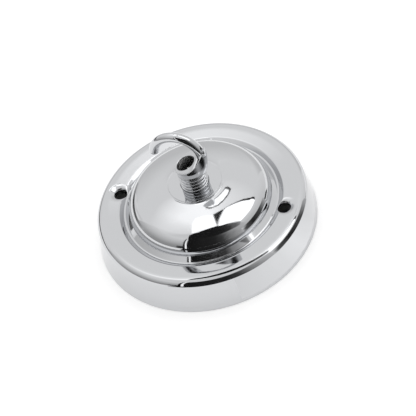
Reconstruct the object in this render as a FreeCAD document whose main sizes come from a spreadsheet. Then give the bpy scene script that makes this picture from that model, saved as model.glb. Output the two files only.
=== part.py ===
import FreeCAD, Part
import Sketcher
import math
import os

# Ceiling rose with a hollow hook: a pressed and polished cover, a hook whose threaded stem lets the
# cable through, and the earth tag, lock washer and lock nut that hold the stem behind the cover.
# Frame: the rose stands on its rim. Z runs from the ceiling plane to the hook, X runs through the
# two fixing holes, and the hook opens towards the fixing hole on the side of minus X.

SIZES = (
    # Cover, pressed from sheet
    ("outer_diameter", 108.0),
    ("sheet_thickness", 1.0),
    ("skirt_draft", 9.0),
    ("rim_height", 18.2),
    ("shoulder_radius", 3.0),
    ("rim_fall", 6.0),
    ("rim_width", 19.2),
    ("roll_radius", 1.8),
    ("groove_fall", 38.0),
    ("groove_depth", 2.6),
    ("groove_radius", 1.0),
    ("cove_width", 2.9),
    ("cove_angle", 38.0),
    ("wall_height", 2.6),
    ("knuckle_radius", 9.0),
    ("dome_rise", 12.5),
    ("seat_diameter", 26.0),
    ("seat_step", 0.3),
    ("neck_depth", 2.5),
    ("neck_wall", 1.6),
    # Fixing holes with their pressed dimples
    ("hole_inset", 3.8),
    ("hole_diameter", 6.0),
    ("lip_depth", 2.6),
    ("lip_radius", 1.6),
    ("lip_skirt", 0.4),
    ("dish_angle", 28.0),
    ("dish_width", 1.3),
    # Hook with its hollow stem
    ("thread_diameter", 13.6),
    ("thread_clearance", 0.05),
    ("thread_exposed", 8.3),
    ("cable_bore", 8.0),
    ("stem_tail", 4.0),
    ("collar_step", 0.6),
    ("collar_taper", 1.6),
    ("mouth_lip", 1.3),
    ("mouth_angle", 16.0),
    ("mouth_round", 0.5),
    ("mouth_bore", 9.2),
    ("mouth_shift", 1.9),
    ("scoop_start", 1.5),
    ("scoop_radius", 8.7),
    ("scoop_sweep", 47.0),
    ("rod_diameter", 4.6),
    ("hook_radius", 11.6),
    ("hook_rise", 3.1),
    ("hook_sweep", 170.0),
    ("root_offset", 0.8),
    ("root_radius", 20.0),
    ("root_sweep", 33.0),
    # Lock nut, lock washer and earth terminal behind the cover
    ("nut_wall", 3.0),
    ("nut_thickness", 4.5),
    ("washer_wall", 3.5),
    ("washer_thickness", 1.0),
    ("washer_notch", 1.3),
    ("washer_teeth", 12),
    ("ring_clearance", 0.2),
    ("tag_wall", 4.0),
    ("tag_thickness", 0.8),
    ("tag_width", 9.0),
    ("tag_gap", 1.4),
    ("tag_bend", 1.2),
    ("tag_foot", 4.4),
    ("earth_thread", 4.0),
    ("earth_clearance", 0.1),
    ("earth_drop", 5.6),
    ("earth_head_diameter", 8.0),
    ("earth_head_height", 2.4),
    ("earth_slot", 1.0),
    ("earth_cup_diameter", 8.6),
    ("earth_cup_thickness", 0.8),
    ("earth_nut_flats", 7.0),
    ("earth_nut_thickness", 3.0),
    ("earth_tail", 0.6),
)

# How far a cutting shape runs past the faces that it cuts
OVERRUN = 1.0

# Places worked out from the driving dimensions: radii from the axis first, then heights
CREASE = "(sizes.outer_diameter / 2 - sizes.rim_width)"
GROOVE = f"({CREASE} + sizes.cove_width)"
HOLE = f"({GROOVE} + sizes.hole_inset)"
THREAD = "(sizes.thread_diameter / 2)"
BORE = f"({THREAD} + sizes.thread_clearance)"
RING_BORE = f"({THREAD} + sizes.ring_clearance)"
COLLAR = f"({THREAD} + sizes.collar_step)"
ROOT = f"({THREAD} + sizes.root_offset)"
NUT_FLATS = "(sizes.thread_diameter + 2 * sizes.nut_wall)"
TAB_BACK = f"({NUT_FLATS} / 2 / cos(30) + sizes.tag_gap + sizes.earth_tail + sizes.earth_nut_thickness)"
TAB_FACE = f"({TAB_BACK} + sizes.tag_thickness)"

GROOVE_FLOOR = "(sizes.rim_height - sizes.groove_depth)"
KNUCKLE = f"({GROOVE_FLOOR} + sizes.wall_height)"
SEAT = "(sizes.rim_height + sizes.dome_rise)"
LIP = "(sizes.rim_height - sizes.lip_depth)"
COLLAR_FOOT = f"({SEAT} + sizes.thread_exposed)"
MOUTH_HALF = f"({COLLAR} * tan(sizes.mouth_angle))"
MOUTH = f"({COLLAR_FOOT} + sizes.collar_taper + sizes.mouth_lip + {MOUTH_HALF})"
HOOK = f"({MOUTH} + {MOUTH_HALF} + sizes.hook_rise)"
CABLE_TURN = f"({MOUTH} - sizes.mouth_shift / sin(sizes.mouth_angle))"
NECK_END = f"({SEAT} - sizes.sheet_thickness - sizes.neck_depth)"
TAG_UNDERSIDE = f"({NECK_END} - sizes.tag_thickness)"
WASHER_UNDERSIDE = f"({TAG_UNDERSIDE} - sizes.washer_thickness)"
NUT_UNDERSIDE = f"({WASHER_UNDERSIDE} - sizes.nut_thickness)"
STEM_END = f"({NUT_UNDERSIDE} - sizes.stem_tail)"
EARTH_AXIS = f"({TAG_UNDERSIDE} - sizes.earth_drop)"
TAB_END = f"({EARTH_AXIS} - sizes.tag_foot)"

# Sketch references: axes, the origin and the vertices of a curve
X_AXIS = -1
Y_AXIS = -2
ORIGIN = (-1, 1)
START = 1
END = 2
CENTRE = 3
UP = FreeCAD.Vector(0, 0, 1)

doc = FreeCAD.newDocument("ceiling_rose")
sheet = doc.addObject("Spreadsheet::Sheet", "sizes")
for row, (alias, number) in enumerate(SIZES, start=1):
    sheet.set(f"A{row}", alias)
    sheet.set(f"B{row}", str(number))
    sheet.setAlias(f"B{row}", alias)
doc.recompute()


def value(expression):
    """Work out an expression of the sheet's cells as a plain number."""
    return float(sheet.evalExpression(expression.replace("sizes.", "")))


def new_body(label):
    """Start a body whose label is also its node name."""
    body = doc.addObject("PartDesign::Body", label)
    body.Label = label
    return body


def origin_part(body, role):
    """Find one of the body's own origin planes or axes by its role."""
    return next(part for part in body.Origin.OriginFeatures if part.Role == role)


def new_sketch(body, name, role, **shift):
    """Attach a sketch to a plane of its body; shift gives expressions for its own x, y and z."""
    sketch = body.newObject("Sketcher::SketchObject", name)
    sketch.AttachmentSupport = [(origin_part(body, role), "")]
    sketch.MapMode = "FlatFace"
    for axis, expression in shift.items():
        sketch.setExpression(f"AttachmentOffset.Base.{axis}", expression)
    return sketch


def point(x, y):
    """A point of a sketch."""
    return FreeCAD.Vector(x, y, 0)


def line(x0, y0, x1, y1):
    """A straight run of a profile, with the vertices where it begins and ends."""
    return Part.LineSegment(point(x0, y0), point(x1, y1)), START, END


def line_back(x0, y0, x1, y1):
    """A straight run that is travelled from its last vertex to its first."""
    return Part.LineSegment(point(x1, y1), point(x0, y0)), END, START


def arc(x, y, radius, first, last):
    """A round run between two angles in degrees, travelled backwards where last is the smaller."""
    low, high = sorted((math.radians(first), math.radians(last)))
    ends = (START, END) if last > first else (END, START)
    return Part.ArcOfCircle(Part.Circle(point(x, y), UP, radius), low, high), *ends


def draw_loop(sketch, runs):
    """Draw runs end to end as a closed loop; each says whether it flows smoothly into the next."""
    marks = [sketch.addGeometry(run[0]) for run, smooth in runs]
    for here, (run, smooth) in enumerate(runs):
        there = (here + 1) % len(runs)
        ends = (marks[here], run[2], marks[there], runs[there][0][1])
        sketch.addConstraint(Sketcher.Constraint("Tangent" if smooth else "Coincident", *ends))
    return marks


def draw_box(sketch, left, low, right, high):
    """Draw a rectangle between two corners that are given as expressions."""
    x0, y0, x1, y1 = value(left), value(low), value(right), value(high)
    foot, side, lid, other = draw_loop(sketch, [
        (line(x0, y0, x1, y0), False),
        (line(x1, y0, x1, y1), False),
        (line(x1, y1, x0, y1), False),
        (line(x0, y1, x0, y0), False),
    ])
    level(sketch, foot, lid)
    upright(sketch, side, other)
    place(sketch, foot, START, x=left, y=low)
    place(sketch, lid, START, x=right, y=high)


def draw_circle(sketch, radius, x="0"):
    """Draw a circle whose middle lies on the sketch's first axis."""
    ring = sketch.addGeometry(Part.Circle(point(value(x), 0), UP, value(radius)))
    hold(sketch, ring, CENTRE, X_AXIS)
    place(sketch, ring, CENTRE, x=x)
    bind(sketch, "Radius", ring, to=radius)


def bind(sketch, kind, *where, to):
    """Add a dimension to a sketch and bind it to an expression of the sheet's cells."""
    number = value(to)
    if kind == "Angle":
        number = math.radians(number)
    index = sketch.addConstraint(Sketcher.Constraint(kind, *where, number))
    sketch.setExpression(f"Constraints[{index}]", to)


def place(sketch, mark, vertex, x=None, y=None):
    """Give a vertex its distances from the sketch's origin."""
    if x is not None:
        bind(sketch, "DistanceX", *ORIGIN, mark, vertex, to=x)
    if y is not None:
        bind(sketch, "DistanceY", *ORIGIN, mark, vertex, to=y)


def hold(sketch, mark, vertex, axis):
    """Keep a vertex on an axis of the sketch."""
    sketch.addConstraint(Sketcher.Constraint("PointOnObject", mark, vertex, axis))


def level(sketch, *marks):
    """Keep lines of a sketch horizontal."""
    for mark in marks:
        sketch.addConstraint(Sketcher.Constraint("Horizontal", mark))


def upright(sketch, *marks):
    """Keep lines of a sketch vertical."""
    for mark in marks:
        sketch.addConstraint(Sketcher.Constraint("Vertical", mark))


def revolve(body, name, sketch, kind="PartDesign::Revolution", angle="360", **settings):
    """Turn a sketch about its own second axis."""
    feature = body.newObject(kind, name)
    feature.Profile = sketch
    feature.ReferenceAxis = (sketch, ["V_Axis"])
    feature.setExpression("Angle", angle)
    for setting, choice in settings.items():
        setattr(feature, setting, choice)
    doc.recompute()
    return feature


def pad(body, name, sketch, length, kind="PartDesign::Pad", **settings):
    """Raise or sink a sketch by a length that is an expression."""
    feature = body.newObject(kind, name)
    feature.Profile = sketch
    feature.setExpression("Length", length)
    for setting, choice in settings.items():
        setattr(feature, setting, choice)
    doc.recompute()
    return feature


def pocket(body, name, sketch, length, **settings):
    """Cut a sketch into the body by a length that is an expression."""
    return pad(body, name, sketch, length, kind="PartDesign::Pocket", **settings)


def polar_copies(body, name, feature, count):
    """Repeat a feature evenly about the body's Z axis."""
    pattern = body.newObject("PartDesign::PolarPattern", name)
    pattern.Originals = [feature]
    pattern.Axis = (origin_part(body, "Z_Axis"), [""])
    pattern.Angle = 360
    pattern.setExpression("Occurrences", count)
    body.Tip = pattern


def join(kind, label, base, tool):
    """A boolean of two objects of the document."""
    result = doc.addObject(kind, label)
    result.Label = label
    result.Base = base
    result.Tool = tool
    return result


def cover_profile(sketch, inside):
    """Half section of the cover's outside, or of the hollow one sheet thickness within it."""
    inset = "sizes.sheet_thickness" if inside else "0"
    gauge = value(inset)
    floor = -OVERRUN if inside else 0.0
    rim_y = value("sizes.rim_height")
    foot_x = value("sizes.outer_diameter / 2") - gauge
    shoulder_r = value(f"sizes.shoulder_radius - {inset}")
    shoulder_x = foot_x - value("1.8 * sizes.shoulder_radius") + gauge
    shoulder_y = value("sizes.rim_height - sizes.shoulder_radius")
    groove_x = value(GROOVE)
    groove_r = value(f"sizes.groove_radius + {inset}")
    groove_y = value(f"{GROOVE_FLOOR} + sizes.groove_radius")
    roll_r = value(f"sizes.roll_radius - {inset}")
    roll_x = groove_x + value("sizes.groove_depth + sizes.roll_radius / 2")
    roll_y = rim_y - value("sizes.roll_radius + sizes.groove_depth / 4")
    wall_x = value(f"{CREASE} - {inset}")
    wall_y = value(KNUCKLE)
    crease_y = value(f"{GROOVE_FLOOR} + sizes.cove_width * tan(sizes.cove_angle)") - gauge
    knuckle_r = value(f"sizes.knuckle_radius - {inset}")
    seat_x = value("sizes.seat_diameter / 2")
    seat_y = value(f"{SEAT} - {inset}")
    bore_x = value(BORE)
    neck_x = value(f"{BORE} + sizes.neck_wall")
    neck_y = value(NECK_END)
    crown_y = -seat_y
    crown_r = seat_y - crown_y
    fall = value("sizes.rim_fall")
    steep = value("sizes.groove_fall")
    lean = 70
    outline = [
        (line(foot_x, floor, shoulder_x + shoulder_r, shoulder_y), True),
        (arc(shoulder_x, shoulder_y, shoulder_r, value("sizes.skirt_draft"), 90 + fall), True),
        (line_back(shoulder_x, shoulder_y + shoulder_r, roll_x, roll_y + roll_r), True),
        (arc(roll_x, roll_y, roll_r, 90 + fall, 90 + steep), True),
        (line_back(roll_x, roll_y + roll_r, groove_x, groove_y - groove_r), True),
        (arc(groove_x, groove_y, groove_r, steep - 90, -90 - value("sizes.cove_angle")), True),
        (line(groove_x, groove_y - groove_r, wall_x, crease_y), False),
        (line(wall_x, crease_y, wall_x, wall_y), True),
        (arc(wall_x - knuckle_r, wall_y, knuckle_r, 0, lean), True),
        (arc(0, crown_y, crown_r, lean, 80), False),
        (line(seat_x, seat_y - value("sizes.seat_step"), seat_x, seat_y), False),
    ]
    if inside:
        outline += [
            (line(seat_x, seat_y, neck_x, seat_y), False),
            (line(neck_x, seat_y, neck_x, neck_y), False),
            (line(neck_x, neck_y, 0, neck_y), False),
            (line(0, neck_y, 0, floor), False),
            (line(0, floor, foot_x, floor), False),
        ]
    else:
        outline += [
            (line(seat_x, seat_y, bore_x, seat_y), False),
            (line(bore_x, seat_y, bore_x, floor), False),
            (line(bore_x, floor, foot_x, floor), False),
        ]
    marks = draw_loop(sketch, outline)
    skirt, shoulder, rim, roll, descent, groove, cove, wall, knuckle, crown, step, seat = marks[:12]

    foot = "sizes.outer_diameter / 2"
    if inside:
        foot += f" - sizes.sheet_thickness / cos(sizes.skirt_draft) + {OVERRUN} * tan(sizes.skirt_draft)"
    place(sketch, skirt, START, x=foot, y=str(floor))
    bind(sketch, "Angle", skirt, to="90 + sizes.skirt_draft")
    bind(sketch, "Radius", shoulder, to=f"sizes.shoulder_radius - {inset}")
    place(sketch, shoulder, CENTRE, y="sizes.rim_height - sizes.shoulder_radius")
    bind(sketch, "Angle", rim, to="sizes.rim_fall")
    bind(sketch, "Radius", roll, to=f"sizes.roll_radius - {inset}")
    bind(sketch, "Angle", descent, to="sizes.groove_fall")
    bind(sketch, "Radius", groove, to=f"sizes.groove_radius + {inset}")
    place(sketch, groove, CENTRE, x=GROOVE, y=f"{GROOVE_FLOOR} + sizes.groove_radius")
    bind(sketch, "Angle", cove, to="180 - sizes.cove_angle")
    place(sketch, wall, END, x=f"{CREASE} - {inset}", y=KNUCKLE)
    bind(sketch, "Radius", knuckle, to=f"sizes.knuckle_radius - {inset}")
    hold(sketch, crown, CENTRE, Y_AXIS)
    place(sketch, step, START, x="sizes.seat_diameter / 2", y=f"{SEAT} - sizes.seat_step - {inset}")
    place(sketch, step, END, y=f"{SEAT} - {inset}")
    upright(sketch, wall, step)
    level(sketch, seat)
    if inside:
        neck, neck_end, axis_line, floor_line = marks[12:]
        place(sketch, neck, END, x=f"{BORE} + sizes.neck_wall", y=NECK_END)
        hold(sketch, axis_line, START, Y_AXIS)
        upright(sketch, neck, axis_line)
        level(sketch, neck_end, floor_line)
    else:
        bore_line, floor_line = marks[12:]
        place(sketch, bore_line, START, x=BORE)
        upright(sketch, bore_line)
        level(sketch, floor_line)


def dimple_profile(sketch, inside):
    """Half section of what is pressed away above the dished lip of a fixing hole."""
    inset = "sizes.sheet_thickness" if inside else "0"
    deep = 0 if inside else OVERRUN
    reach = "sizes.hole_diameter / 2 + sizes.lip_radius + sizes.dish_width"
    hole_x = value(f"sizes.hole_diameter / 2 + {inset}")
    lip_x = value("sizes.hole_diameter / 2 + sizes.lip_radius")
    lip_y = value(LIP)
    lip_r = value(f"sizes.lip_radius - {inset}")
    floor = lip_y - value("sizes.lip_skirt") - deep
    reach_x = value(reach)
    dish_y = lip_y + lip_r
    top = value(SEAT)
    floor_line, bore, lip, dish, side, lid, axis_line = draw_loop(sketch, [
        (line(0, floor, hole_x, floor), False),
        (line(hole_x, floor, hole_x, lip_y), True),
        (arc(lip_x, lip_y, lip_r, 180, 90 + value("sizes.dish_angle")), True),
        (line(lip_x, dish_y, reach_x, dish_y + 1), False),
        (line(reach_x, dish_y + 1, reach_x, top), False),
        (line(reach_x, top, 0, top), False),
        (line(0, top, 0, floor), False),
    ])
    level(sketch, floor_line, lid)
    upright(sketch, bore, side, axis_line)
    hold(sketch, floor_line, START, Y_AXIS)
    place(sketch, bore, START, x=f"sizes.hole_diameter / 2 + {inset}", y=f"{LIP} - sizes.lip_skirt - {deep}")
    bind(sketch, "Radius", lip, to=f"sizes.lip_radius - {inset}")
    place(sketch, lip, CENTRE, y=LIP)
    bind(sketch, "Angle", dish, to="sizes.dish_angle")
    place(sketch, side, END, x=reach, y=SEAT)


def cover_solid(label, inside):
    """The cover's outer form, or its hollow, with both dimples pressed in."""
    body = new_body(label)
    section = new_sketch(body, label + "_section", "XZ_Plane")
    cover_profile(section, inside)
    revolve(body, label + "_turned", section)
    dish = new_sketch(body, label + "_dish", "XZ_Plane", x=HOLE)
    dimple_profile(dish, inside)
    dimple = revolve(body, label + "_dimple", dish, kind="PartDesign::Groove")
    polar_copies(body, label + "_dimples", dimple, "2")
    return body


def make_cover():
    """Pressed cover: skirt, rounded shoulder, falling rim, groove, dome and tapped neck."""
    return join("Part::Cut", "rose_cover", cover_solid("cover_form", False), cover_solid("cover_hollow", True))


def mouth_edges(shape):
    """Names of the edges where the scooped mouth meets the outside of the collar."""
    collar = value(COLLAR)
    low = value(f"{COLLAR_FOOT} + sizes.collar_taper")
    names = []
    for index, edge in enumerate(shape.Edges, start=1):
        spots = edge.discretize(9)
        on_collar = all(abs(math.hypot(spot.x, spot.y) - collar) < 1e-4 for spot in spots)
        heights = [spot.z for spot in spots]
        if on_collar and min(heights) > low and max(heights) - min(heights) > 1e-4:
            names.append(f"Edge{index}")
    return names


def stem_profile(sketch):
    """Half section of the stem before boring: threaded length, taper and the collar below the mouth."""
    thread, collar = value(THREAD), value(COLLAR)
    low, foot, top = value(STEM_END), value(COLLAR_FOOT), value(HOOK)
    floor, side, taper, collar_side, lid, axis_line = draw_loop(sketch, [
        (line(0, low, thread, low), False),
        (line(thread, low, thread, foot), False),
        (line(thread, foot, collar, foot + 1), False),
        (line(collar, foot + 1, collar, top), False),
        (line(collar, top, 0, top), False),
        (line(0, top, 0, low), False),
    ])
    level(sketch, floor, lid)
    upright(sketch, side, collar_side, axis_line)
    hold(sketch, floor, START, Y_AXIS)
    place(sketch, side, END, x=THREAD, y=COLLAR_FOOT)
    place(sketch, floor, END, y=STEM_END)
    place(sketch, taper, END, x=COLLAR, y=f"{COLLAR_FOOT} + sizes.collar_taper")
    place(sketch, lid, START, y=f"{HOOK} + sizes.hook_radius")


def mouth_profile(sketch):
    """Side view of what is scooped away above the mouth: a slanted floor that sweeps up to the hook."""
    reach = value(f"2 * {COLLAR}")
    slant = value("sizes.mouth_angle")
    sweep = value("sizes.scoop_sweep")
    radius = value("sizes.scoop_radius")
    turn_x = value("sizes.scoop_start")
    turn_y = turn_x * math.tan(math.radians(slant))
    mid_x = turn_x - radius * math.sin(math.radians(slant))
    mid_y = turn_y + radius * math.cos(math.radians(slant))
    end_x = mid_x + radius * math.sin(math.radians(slant + sweep))
    end_y = mid_y - radius * math.cos(math.radians(slant + sweep))
    top = value(f"{HOOK} - {MOUTH} + 2 * sizes.hook_radius")
    face, scoop, rise, lid, other = draw_loop(sketch, [
        (line(-reach, -turn_y, turn_x, turn_y), True),
        (arc(mid_x, mid_y, radius, slant - 90, slant + sweep - 90), True),
        (line(end_x, end_y, end_x + 1, top), False),
        (line(end_x + 1, top, -reach, top), False),
        (line(-reach, top, -reach, -turn_y), False),
    ])
    level(sketch, lid)
    upright(sketch, other)
    hold(sketch, *ORIGIN, face)
    bind(sketch, "Angle", face, to="sizes.mouth_angle")
    place(sketch, face, START, x=f"-2 * {COLLAR}")
    place(sketch, face, END, x="sizes.scoop_start")
    bind(sketch, "Radius", scoop, to="sizes.scoop_radius")
    bind(sketch, "Angle", rise, to="sizes.mouth_angle + sizes.scoop_sweep")
    place(sketch, lid, START, y=f"{HOOK} - {MOUTH} + 2 * sizes.hook_radius")


def leaning_profile(sketch):
    """Half section of the upper cable way, whose axis leans so that it leaves square to the mouth."""
    lean = math.radians(value("sizes.mouth_angle"))
    radius = value("sizes.mouth_bore / 2")
    foot = value(CABLE_TURN)
    length = value("sizes.mouth_shift / tan(sizes.mouth_angle)") + OVERRUN
    along = (-math.sin(lean), math.cos(lean))
    across = (math.cos(lean) * radius, math.sin(lean) * radius)
    tip = (along[0] * length, foot + along[1] * length)
    axis, lid, side, floor = draw_loop(sketch, [
        (line(0, foot, *tip), False),
        (line(*tip, tip[0] + across[0], tip[1] + across[1]), False),
        (line(tip[0] + across[0], tip[1] + across[1], across[0], foot + across[1]), False),
        (line(across[0], foot + across[1], 0, foot), False),
    ])
    centre = sketch.addGeometry(line(0, foot, *tip)[0], True)
    for vertex in (START, END):
        sketch.addConstraint(Sketcher.Constraint("Coincident", centre, vertex, axis, vertex))
    hold(sketch, axis, START, Y_AXIS)
    place(sketch, axis, START, y=CABLE_TURN)
    bind(sketch, "Angle", axis, to="90 + sizes.mouth_angle")
    bind(sketch, "Distance", axis, to=f"sizes.mouth_shift / tan(sizes.mouth_angle) + {OVERRUN}")
    for edge in (lid, floor):
        sketch.addConstraint(Sketcher.Constraint("Perpendicular", axis, edge))
    sketch.addConstraint(Sketcher.Constraint("Parallel", axis, side))
    bind(sketch, "Distance", lid, to="sizes.mouth_bore / 2")


def make_hook():
    """Hook and hollow stem in one piece: scooped cable mouth, bent rod, round tip and cable way."""
    body = new_body("hook_stem")
    section = new_sketch(body, "stem_section", "XZ_Plane")
    stem_profile(section)
    revolve(body, "stem_turned", section)

    side_view = new_sketch(body, "mouth_side_view", "XZ_Plane", y=MOUTH)
    mouth_profile(side_view)
    mouth = pocket(body, "mouth", side_view, f"4 * {COLLAR}", Midplane=True)
    rounding = body.newObject("PartDesign::Fillet", "mouth_rounding")
    rounding.Base = (mouth, mouth_edges(mouth.Shape))
    rounding.setExpression("Radius", "sizes.mouth_round")
    doc.recompute()

    bend = new_sketch(body, "rod_at_bend", "XY_Plane", x=f"{ROOT} - sizes.hook_radius", z=HOOK)
    draw_circle(bend, "sizes.rod_diameter / 2", x="sizes.hook_radius")
    revolve(body, "hook_bend", bend, angle="sizes.hook_sweep", Reversed=True)
    root = new_sketch(body, "rod_at_root", "XY_Plane", x=f"{ROOT} - sizes.root_radius", z=HOOK)
    draw_circle(root, "sizes.rod_diameter / 2", x="sizes.root_radius")
    revolve(body, "hook_root", root, angle="sizes.root_sweep")

    tip = new_sketch(body, "tip_section", "XZ_Plane",
                     x=f"{ROOT} - sizes.hook_radius * (1 - cos(sizes.hook_sweep))",
                     y=f"{HOOK} + sizes.hook_radius * sin(sizes.hook_sweep)")
    tip_r = value("sizes.rod_diameter / 2")
    ball, flat = draw_loop(tip, [
        (arc(0, 0, tip_r, -90, 90), False),
        (line(0, tip_r, 0, -tip_r), False),
    ])
    tip.addConstraint(Sketcher.Constraint("Coincident", ball, CENTRE, *ORIGIN))
    upright(tip, flat)
    hold(tip, flat, START, Y_AXIS)
    bind(tip, "Radius", ball, to="sizes.rod_diameter / 2")
    revolve(body, "hook_tip", tip)

    cable = new_sketch(body, "cable_circle", "XY_Plane", z=STEM_END)
    draw_circle(cable, "sizes.cable_bore / 2")
    pocket(body, "cable_way", cable, f"{CABLE_TURN} + sizes.mouth_shift - {STEM_END}", Reversed=True)
    lean = new_sketch(body, "cable_lean", "XZ_Plane")
    leaning_profile(lean)
    turned = revolve(body, "cable_exit", lean, kind="PartDesign::Groove")
    turned.ReferenceAxis = (lean, ["Axis0"])
    doc.recompute()
    return body


def tab_profile(sketch):
    """Side view of the tag's arm and bent tab, in a sketch whose first axis is the tag's top face."""
    start = f"{THREAD} + sizes.tag_wall - {OVERRUN}"
    near, back, face = value(start), value(TAB_BACK), value(TAB_FACE)
    thick, turn = value("sizes.tag_thickness"), value("sizes.tag_bend")
    end = value(f"{TAB_END} - {NECK_END}")
    bend_x, bend_y = back - turn, -thick - turn
    top, outer, front, foot, rear, inner, under, close = draw_loop(sketch, [
        (line(near, 0, bend_x, 0), True),
        (arc(bend_x, bend_y, turn + thick, 90, 0), True),
        (line(face, bend_y, face, end), False),
        (line(face, end, back, end), False),
        (line(back, end, back, bend_y), True),
        (arc(bend_x, bend_y, turn, 0, 90), True),
        (line(bend_x, -thick, near, -thick), False),
        (line(near, -thick, near, 0), False),
    ])
    level(sketch, top, foot, under)
    upright(sketch, front, rear, close)
    hold(sketch, top, START, X_AXIS)
    place(sketch, top, START, x=start)
    place(sketch, front, END, x=TAB_FACE, y=f"{TAB_END} - {NECK_END}")
    place(sketch, rear, START, x=TAB_BACK)
    place(sketch, under, END, y="-sizes.tag_thickness")
    bind(sketch, "Radius", outer, to="sizes.tag_bend + sizes.tag_thickness")
    bind(sketch, "Radius", inner, to="sizes.tag_bend")


def make_earth_tag():
    """Stamped earth tag: a ring under the neck, an arm and a tab bent down to carry the screw."""
    body = new_body("earth_tag")
    flat = new_sketch(body, "tag_ring", "XY_Plane", z=TAG_UNDERSIDE)
    draw_circle(flat, RING_BORE)
    draw_circle(flat, f"{THREAD} + sizes.tag_wall")
    pad(body, "tag_flat", flat, "sizes.tag_thickness")
    strip = new_sketch(body, "tag_strip", "YZ_Plane", y=NECK_END)
    tab_profile(strip)
    pad(body, "tag_tab", strip, "sizes.tag_width", Midplane=True)
    eye = new_sketch(body, "tag_eye", "XZ_Plane", y=EARTH_AXIS)
    draw_circle(eye, "sizes.earth_thread / 2 + sizes.earth_clearance")
    pocket(body, "tag_hole", eye, f"{TAB_FACE} + {OVERRUN}")
    return body


def make_lock_washer():
    """Toothed lock washer: a ring with notches that leave teeth round its edge."""
    body = new_body("lock_washer")
    flat = new_sketch(body, "washer_ring", "XY_Plane", z=WASHER_UNDERSIDE)
    draw_circle(flat, RING_BORE)
    draw_circle(flat, f"{THREAD} + sizes.washer_wall")
    pad(body, "washer_flat", flat, "sizes.washer_thickness")
    gap = new_sketch(body, "washer_gap", "XY_Plane", z=WASHER_UNDERSIDE)
    draw_box(gap, f"{THREAD} + sizes.washer_wall - sizes.washer_notch", "-sizes.washer_notch / 2",
             f"{THREAD} + sizes.washer_wall + {OVERRUN}", "sizes.washer_notch / 2")
    notch = pocket(body, "washer_cut", gap, "sizes.washer_thickness", Reversed=True)
    polar_copies(body, "washer_cuts", notch, "sizes.washer_teeth")
    return body


def chamfer_cone(name, flats, thickness, first, second):
    """Cone that takes the corners off one face of a nut, at 30 degrees to that face."""
    cone = doc.addObject("Part::Cone", name)
    radius = {"narrow": f"{flats} / 2", "wide": f"{flats} / 2 + {thickness} / tan(30)"}
    cone.setExpression("Radius1", radius[first])
    cone.setExpression("Radius2", radius[second])
    cone.setExpression("Height", thickness)
    return cone


def drilled(label, solid, bore, thickness):
    """A round hole through a piece that stands on the origin."""
    hole = doc.addObject("Part::Cylinder", label + "_hole")
    hole.setExpression("Radius", bore)
    hole.setExpression("Height", thickness)
    return join("Part::Cut", label, solid, hole)


def hex_nut(label, flats, thickness, bore):
    """Hexagon nut standing on the origin, with both faces chamfered."""
    prism = doc.addObject("Part::Prism", label + "_prism")
    prism.Polygon = 6
    prism.setExpression("Circumradius", f"{flats} / 2 / cos(30)")
    prism.setExpression("Height", thickness)
    low = chamfer_cone(label + "_low_cone", flats, thickness, "narrow", "wide")
    high = chamfer_cone(label + "_high_cone", flats, thickness, "wide", "narrow")
    blank = join("Part::Common", label + "_low", prism, low)
    blank = join("Part::Common", label + "_blank", blank, high)
    return drilled(label, blank, bore, thickness)


def turn_across(piece, offset):
    """Lay a piece made about Z along the earth screw's axis, at an offset from the stem's axis."""
    piece.Placement = FreeCAD.Placement(FreeCAD.Vector(), FreeCAD.Rotation(FreeCAD.Vector(1, 0, 0), -90))
    piece.setExpression("Placement.Base.y", offset)
    piece.setExpression("Placement.Base.z", EARTH_AXIS)
    return piece


def make_lock_nut():
    """Lock nut that clamps the tag and the lock washer against the neck."""
    nut = hex_nut("lock_nut", NUT_FLATS, "sizes.nut_thickness", BORE)
    nut.setExpression("Placement.Base.z", NUT_UNDERSIDE)
    return nut


def make_earth_nut():
    """Nut behind the earth tab."""
    bore = "sizes.earth_thread / 2 + sizes.thread_clearance"
    nut = hex_nut("earth_nut", "sizes.earth_nut_flats", "sizes.earth_nut_thickness", bore)
    return turn_across(nut, f"{TAB_BACK} - sizes.earth_nut_thickness")


def make_earth_cup():
    """Cup washer under the head of the earth screw, which traps the wire."""
    disc = doc.addObject("Part::Cylinder", "earth_cup_disc")
    disc.setExpression("Radius", "sizes.earth_cup_diameter / 2")
    disc.setExpression("Height", "sizes.earth_cup_thickness")
    bore = "sizes.earth_thread / 2 + sizes.earth_clearance"
    return turn_across(drilled("earth_cup_washer", disc, bore, "sizes.earth_cup_thickness"), TAB_FACE)


def screw_profile(sketch):
    """Half section of the earth screw; its origin is the middle of the bearing face under the head."""
    shank, head = value("sizes.earth_thread / 2"), value("sizes.earth_head_diameter / 2")
    tall = value("sizes.earth_head_height")
    long = value("sizes.earth_nut_thickness")
    axis_line, foot, side, under, edge, crown = draw_loop(sketch, [
        (line(0, tall, 0, -long), False),
        (line(0, -long, shank, -long), False),
        (line(shank, -long, shank, 0), False),
        (line(shank, 0, head, 0), False),
        (line(head, 0, head, tall / 2), False),
        (arc(0, tall - 3 * head, 3 * head, 70, 90), False),
    ])
    upright(sketch, axis_line, side, edge)
    level(sketch, foot, under)
    hold(sketch, axis_line, END, Y_AXIS)
    hold(sketch, crown, CENTRE, Y_AXIS)
    hold(sketch, under, START, X_AXIS)
    grip = "sizes.earth_cup_thickness + sizes.tag_thickness + sizes.earth_nut_thickness"
    place(sketch, axis_line, START, y="sizes.earth_head_height")
    place(sketch, foot, END, x="sizes.earth_thread / 2", y=f"-({grip} + sizes.earth_tail)")
    place(sketch, edge, END, x="sizes.earth_head_diameter / 2", y="sizes.earth_head_height / 2")


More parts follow.
